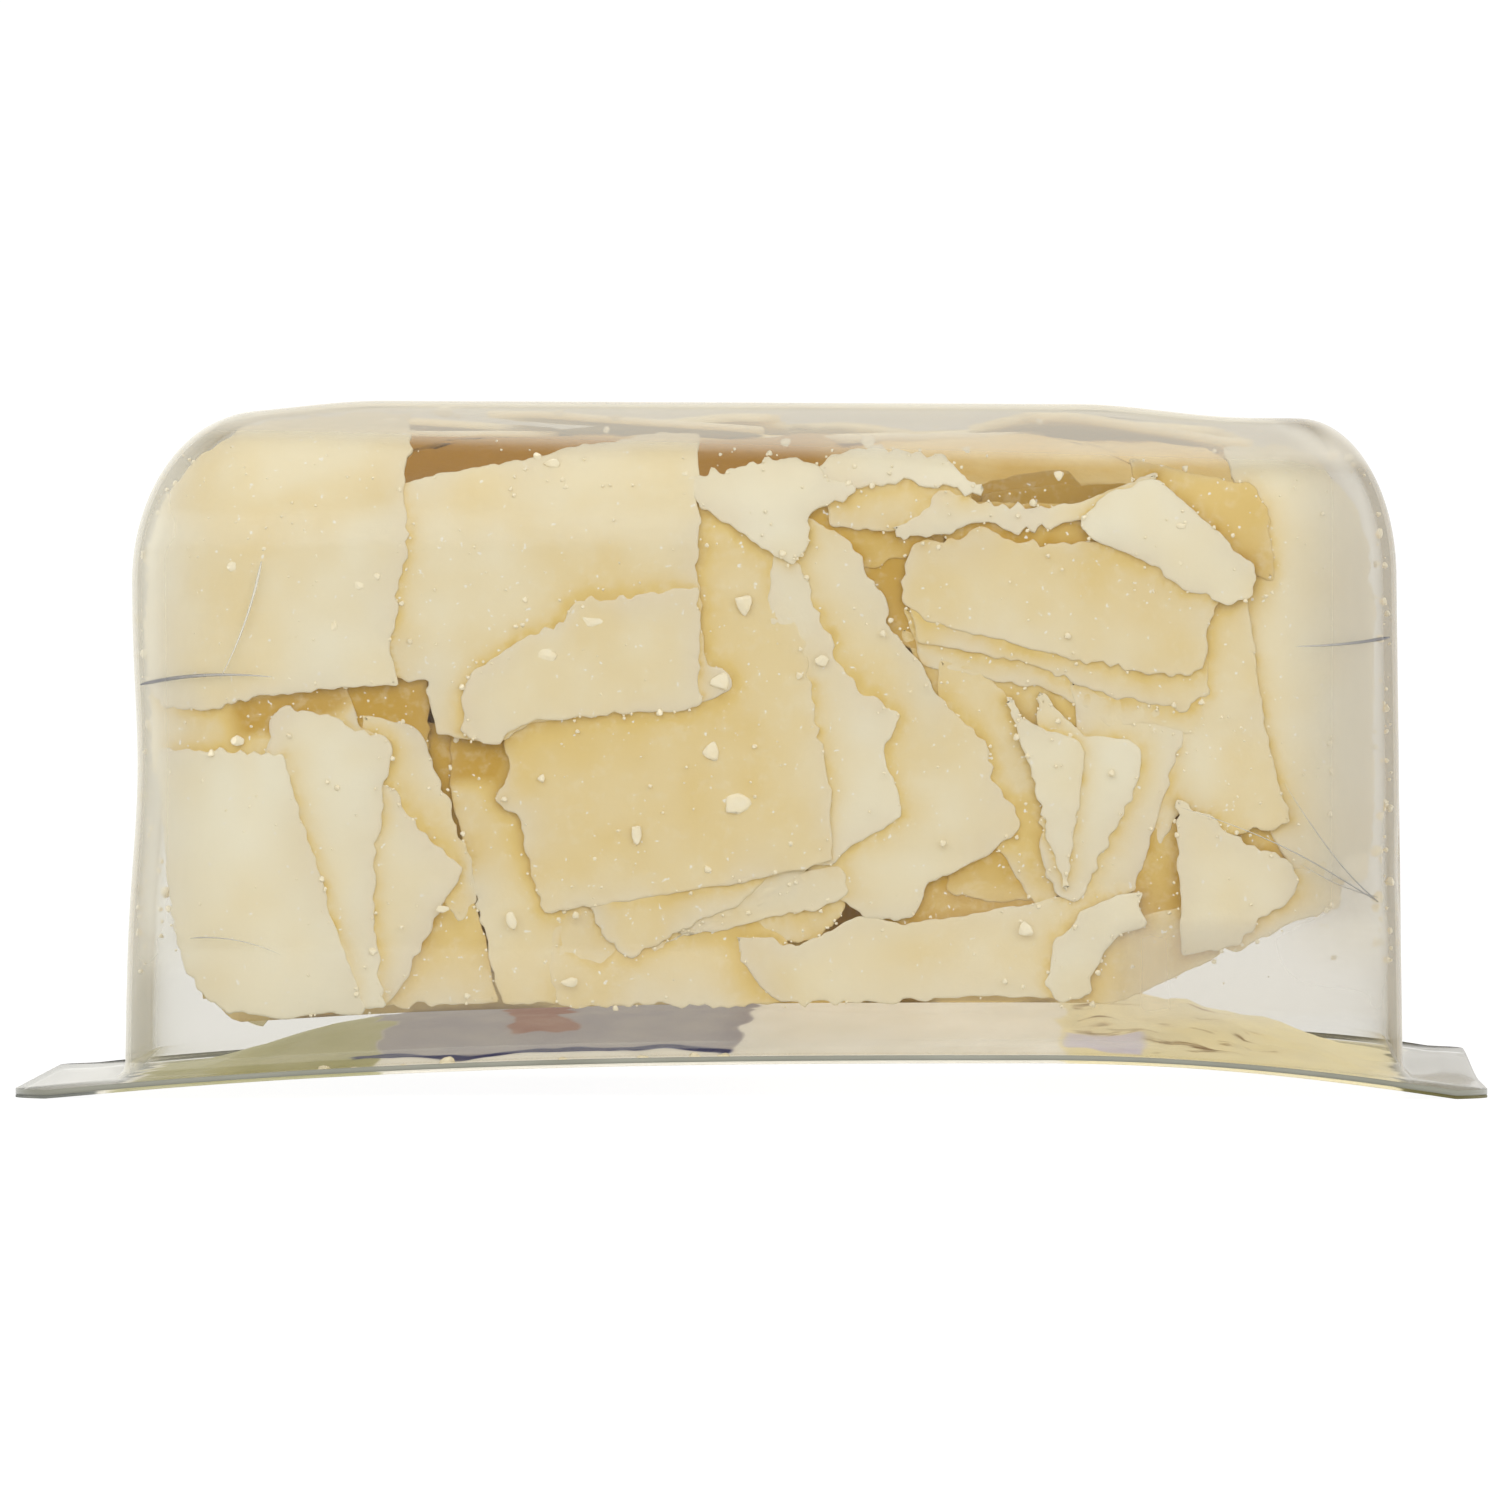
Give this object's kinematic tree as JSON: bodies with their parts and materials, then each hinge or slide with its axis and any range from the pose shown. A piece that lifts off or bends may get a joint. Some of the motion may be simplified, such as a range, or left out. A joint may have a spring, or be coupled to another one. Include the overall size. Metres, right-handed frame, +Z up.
{
  "type": "sealed pack of grana padano shavings",
  "caption": "Clear thermoformed food tub lying on its printed lid film, full of thin square hard cheese shavings.",
  "frame": {"origin": "on the surface that the pack stands on, under the middle of the whole pack's outline", "axes": "+X along the pack's long side, +Y from the front wall to the back wall, +Z up from the lid to the tub's base"},
  "size_m": [0.135, 0.095, 0.064],
  "materials": {
    "clear_plastic": "clear glossy film",
    "lid_film": "satin printed film",
    "cheese": "matte, slightly waxy"
  },
  "bodies": {
    "root": {"tub": "clear_plastic", "lid": "lid_film", "shavings": "cheese"}
  },
  "joints": []
}
